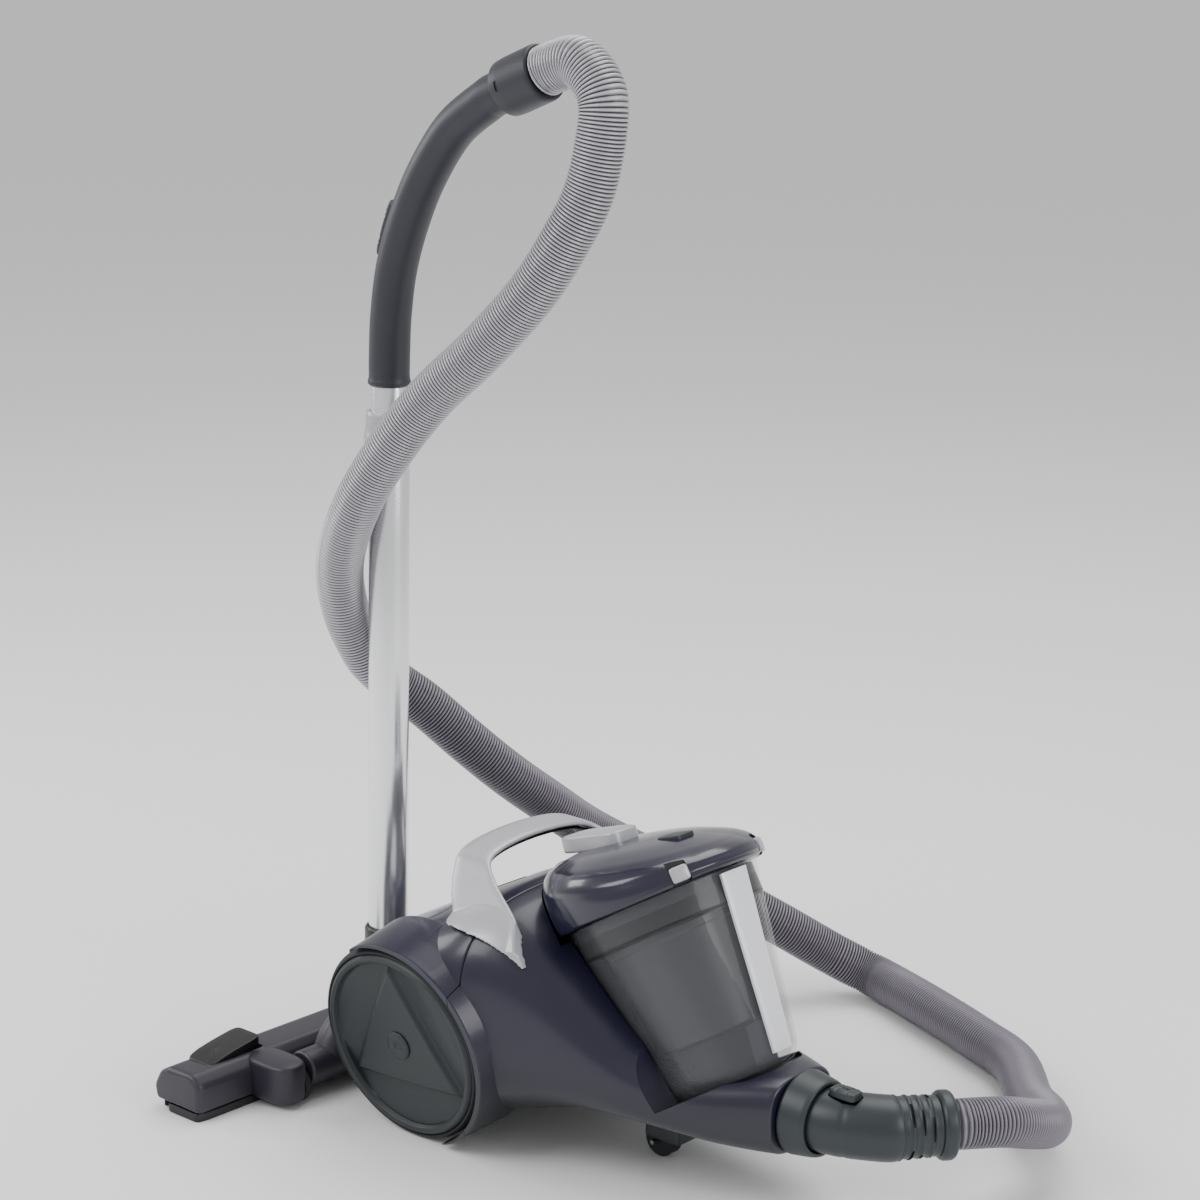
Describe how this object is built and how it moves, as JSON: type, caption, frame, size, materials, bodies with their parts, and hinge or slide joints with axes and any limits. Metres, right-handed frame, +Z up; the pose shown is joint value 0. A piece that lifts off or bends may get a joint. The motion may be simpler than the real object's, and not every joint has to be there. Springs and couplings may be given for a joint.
{
  "type": "cylinder vacuum cleaner",
  "caption": "Bagless cylinder vacuum cleaner with leaning clear dust bin, arched carry handle, ribbed hose, curved grip and telescopic tube parked upright on a floor nozzle.",
  "frame": {"origin": "middle of the footprint of everything but the hose, on the floor", "axes": "+Z up along the parked tube, +X forward towards the hose inlet, +Y to the cleaner's left"},
  "size_m": [0.6936, 0.6768, 0.9449],
  "materials": {
    "rear_housing": "dark navy gloss",
    "front_body": "dark navy gloss",
    "lower_chassis": "dark grey satin",
    "inlet_socket": "dark grey satin",
    "carry_handle": "silver-painted plastic",
    "handle_liner": "black satin",
    "motor_can": "plain",
    "motor_seal": "soft dark grey",
    "pre_motor_filter": "pleated filter",
    "exhaust_filter": "pleated filter",
    "reel_axle": "plain",
    "cord_outlet": "black satin",
    "wheel_axle_right": "plain",
    "wheel_axle_left": "plain",
    "parking_bracket": "black satin",
    "hose_connector": "dark grey satin",
    "hose_lower": "ribbed silver-grey",
    "wheel_right": "dark grey satin",
    "tyre_right": "thin soft tread",
    "hub_cap_right": "dark grey satin",
    "wheel_left": "dark grey satin",
    "tyre_left": "thin soft tread",
    "hub_cap_left": "dark grey satin",
    "caster_fork": "dark grey satin",
    "caster_pin": "plain",
    "caster_wheel": "soft dark grey",
    "impeller_rotor": "polished tube",
    "cord_reel": "black satin",
    "power_pedal": "silver-painted plastic",
    "rewind_pedal": "silver-painted plastic",
    "exhaust_grille": "dark navy gloss",
    "bin_shell": "clear smoked plastic",
    "bin_front_strip": "pale grey",
    "bin_seal": "soft dark grey",
    "bin_lid": "dark navy gloss",
    "cyclone_shroud": "black satin",
    "bin_handle": "silver-painted plastic",
    "lid_latch_right": "silver-painted plastic",
    "lid_latch_left": "silver-painted plastic",
    "bin_release_button": "dark grey satin",
    "connector_button": "dark grey satin",
    "hose_sleeve": "dark grey satin",
    "connector_ring": "dark grey satin",
    "lower_tube": "polished tube",
    "telescopic_collar": "black satin",
    "neck_collar": "black satin",
    "hose_upper": "ribbed silver-grey",
    "tube_latch": "black satin",
    "upper_tube": "polished tube",
    "handle_grip": "charcoal satin",
    "suction_slider": "charcoal satin",
    "swivel_cuff": "charcoal satin",
    "nozzle_neck": "mauve-charcoal satin",
    "nozzle_body": "mauve-charcoal satin",
    "nozzle_sole": "black satin",
    "nozzle_pedal": "black satin",
    "brush_strip": "black bristle",
    "nozzle_roller_right": "soft dark grey",
    "nozzle_roller_left": "soft dark grey"
  },
  "bodies": {
    "chassis": {"rear_housing": "rear_housing", "front_body": "front_body", "lower_chassis": "lower_chassis", "inlet_socket": "inlet_socket", "carry_handle": "carry_handle", "handle_liner": "handle_liner", "motor_can": "motor_can", "motor_seal": "motor_seal", "pre_motor_filter": "pre_motor_filter", "exhaust_filter": "exhaust_filter", "reel_axle": "reel_axle", "cord_outlet": "cord_outlet", "wheel_axle_right": "wheel_axle_right", "wheel_axle_left": "wheel_axle_left", "parking_bracket": "parking_bracket", "hose_connector": "hose_connector", "hose_lower": "hose_lower"},
    "right_wheel": {"wheel_right": "wheel_right", "tyre_right": "tyre_right", "hub_cap_right": "hub_cap_right"},
    "left_wheel": {"wheel_left": "wheel_left", "tyre_left": "tyre_left", "hub_cap_left": "hub_cap_left"},
    "front_fork": {"caster_fork": "caster_fork", "caster_pin": "caster_pin"},
    "front_roller": {"caster_wheel": "caster_wheel"},
    "rotor": {"impeller_rotor": "impeller_rotor"},
    "reel": {"cord_reel": "cord_reel"},
    "power_button": {"power_pedal": "power_pedal"},
    "rewind_button": {"rewind_pedal": "rewind_pedal"},
    "grille_door": {"exhaust_grille": "exhaust_grille"},
    "bin": {"bin_shell": "bin_shell", "bin_front_strip": "bin_front_strip", "bin_seal": "bin_seal"},
    "lid": {"bin_lid": "bin_lid", "cyclone_shroud": "cyclone_shroud", "bin_handle": "bin_handle"},
    "right_latch": {"lid_latch_right": "lid_latch_right"},
    "left_latch": {"lid_latch_left": "lid_latch_left"},
    "bin_button": {"bin_release_button": "bin_release_button"},
    "hose_release": {"connector_button": "connector_button"},
    "sleeve": {"hose_sleeve": "hose_sleeve", "connector_ring": "connector_ring"},
    "wand": {"lower_tube": "lower_tube", "telescopic_collar": "telescopic_collar", "neck_collar": "neck_collar", "hose_upper": "hose_upper"},
    "tube_release": {"tube_latch": "tube_latch"},
    "wand_top": {"upper_tube": "upper_tube", "handle_grip": "handle_grip"},
    "air_slider": {"suction_slider": "suction_slider"},
    "cuff": {"swivel_cuff": "swivel_cuff"},
    "neck": {"nozzle_neck": "nozzle_neck"},
    "head": {"nozzle_body": "nozzle_body", "nozzle_sole": "nozzle_sole"},
    "floor_pedal": {"nozzle_pedal": "nozzle_pedal"},
    "brush": {"brush_strip": "brush_strip"},
    "right_roller": {"nozzle_roller_right": "nozzle_roller_right"},
    "left_roller": {"nozzle_roller_left": "nozzle_roller_left"}
  },
  "joints": [
    {"name": "right_wheel_spin", "type": "hinge", "parent": "chassis", "child": "right_wheel", "pos_m": [-0.1243, -0.1006, 0.08739], "axis": [0, -0.9848, -0.1736], "continuous": true},
    {"name": "left_wheel_spin", "type": "hinge", "parent": "chassis", "child": "left_wheel", "pos_m": [-0.1243, 0.1834, 0.08739], "axis": [0, 0.9848, -0.1736], "continuous": true},
    {"name": "front_fork_swivel", "type": "hinge", "parent": "chassis", "child": "front_fork", "pos_m": [0.0747, 0.0414, 0.03], "axis": [0, 0, 1], "continuous": true},
    {"name": "front_roller_spin", "type": "hinge", "parent": "front_fork", "child": "front_roller", "pos_m": [0.0607, 0.0414, 0.0155], "axis": [0, 1, 0], "continuous": true},
    {"name": "rotor_spin", "type": "hinge", "parent": "chassis", "child": "rotor", "pos_m": [-0.1293, 0.0414, 0.096], "axis": [0, 1, 0], "continuous": true},
    {"name": "reel_spin", "type": "hinge", "parent": "chassis", "child": "reel", "pos_m": [-0.1293, 0.0414, 0.096], "axis": [0, 1, 0], "continuous": true},
    {"name": "power_press", "type": "slide", "parent": "chassis", "child": "power_button", "axis": [0.4801, 0, -0.8772], "range_m": [0, 0.004], "stiffness_N_per_m": 1500},
    {"name": "rewind_press", "type": "slide", "parent": "chassis", "child": "rewind_button", "axis": [0.4801, 0, -0.8772], "range_m": [0, 0.004], "stiffness_N_per_m": 1500},
    {"name": "grille_open", "type": "hinge", "parent": "chassis", "child": "grille_door", "pos_m": [-0.12755, 0.0414, 0.20102], "axis": [0, 1, 0], "range_deg": [0, 60]},
    {"name": "bin_lift", "type": "slide", "parent": "chassis", "child": "bin", "axis": [-0.5299, 0, 0.848], "range_m": [0, 0.08]},
    {"name": "lid_lift", "type": "slide", "parent": "bin", "child": "lid", "axis": [-0.5299, 0, 0.848], "range_m": [0, 0.06]},
    {"name": "right_latch_open", "type": "hinge", "parent": "lid", "child": "right_latch", "pos_m": [0.10665, -0.00865, 0.28451], "axis": [-0.4742, -0.829, -0.2963], "range_deg": [0, 35]},
    {"name": "left_latch_open", "type": "hinge", "parent": "lid", "child": "left_latch", "pos_m": [0.10665, 0.09145, 0.28451], "axis": [0.4742, -0.829, 0.2963], "range_deg": [0, 35]},
    {"name": "bin_button_press", "type": "slide", "parent": "lid", "child": "bin_button", "axis": [0.3084, 0, -0.9513], "range_m": [0, 0.0025], "stiffness_N_per_m": 1200},
    {"name": "hose_release_press", "type": "slide", "parent": "chassis", "child": "hose_release", "axis": [0, 0, -1], "range_m": [0, 0.002], "stiffness_N_per_m": 1200},
    {"name": "sleeve_swivel", "type": "hinge", "parent": "chassis", "child": "sleeve", "pos_m": [0.2832, 0.0679, 0.0836], "axis": [0.6203, 0.7844, 0], "continuous": true},
    {"name": "wand_unpark", "type": "slide", "parent": "chassis", "child": "wand", "axis": [-1, 0, 0], "range_m": [0, 0.06]},
    {"name": "tube_release_press", "type": "slide", "parent": "wand", "child": "tube_release", "axis": [0, 0, -1], "range_m": [0, 0.0045], "stiffness_N_per_m": 400},
    {"name": "telescope", "type": "slide", "parent": "wand", "child": "wand_top", "axis": [0, 0, 1], "range_m": [0, 0.28], "deforming": ["hose_upper"]},
    {"name": "air_slide", "type": "slide", "parent": "wand_top", "child": "air_slider", "axis": [0.33, 0, 0.944], "range_m": [-0.006, 0.006]},
    {"name": "cuff_swivel", "type": "hinge", "parent": "wand_top", "child": "cuff", "pos_m": [-0.1069, 0.0064, 0.9002], "axis": [0.927, 0, 0.375], "continuous": true},
    {"name": "neck_swivel", "type": "hinge", "parent": "wand", "child": "neck", "pos_m": [-0.2413, 0.0064, 0.1], "axis": [0, 0, 1], "range_deg": [-12, 12]},
    {"name": "head_pitch", "type": "hinge", "parent": "neck", "child": "head", "pos_m": [-0.2523, -0.0586, 0.027], "axis": [0, 1, 0], "range_deg": [-8, 8]},
    {"name": "floor_pedal_rock", "type": "hinge", "parent": "head", "child": "floor_pedal", "pos_m": [-0.3053, -0.1366, 0.0445], "axis": [-1, 0, 0], "range_deg": [0, 12]},
    {"name": "brush_lift", "type": "slide", "parent": "head", "child": "brush", "axis": [0, 0, 1], "range_m": [0, 0.004]},
    {"name": "right_roller_spin", "type": "hinge", "parent": "neck", "child": "right_roller", "pos_m": [-0.2523, -0.0978, 0.016], "axis": [0, 1, 0], "continuous": true},
    {"name": "left_roller_spin", "type": "hinge", "parent": "neck", "child": "left_roller", "pos_m": [-0.2523, -0.0194, 0.016], "axis": [0, 1, 0], "continuous": true}
  ],
  "couplings": [
    {"joint": "brush_lift", "follows": "floor_pedal_rock", "m_per_rad": 0.019}
  ]
}
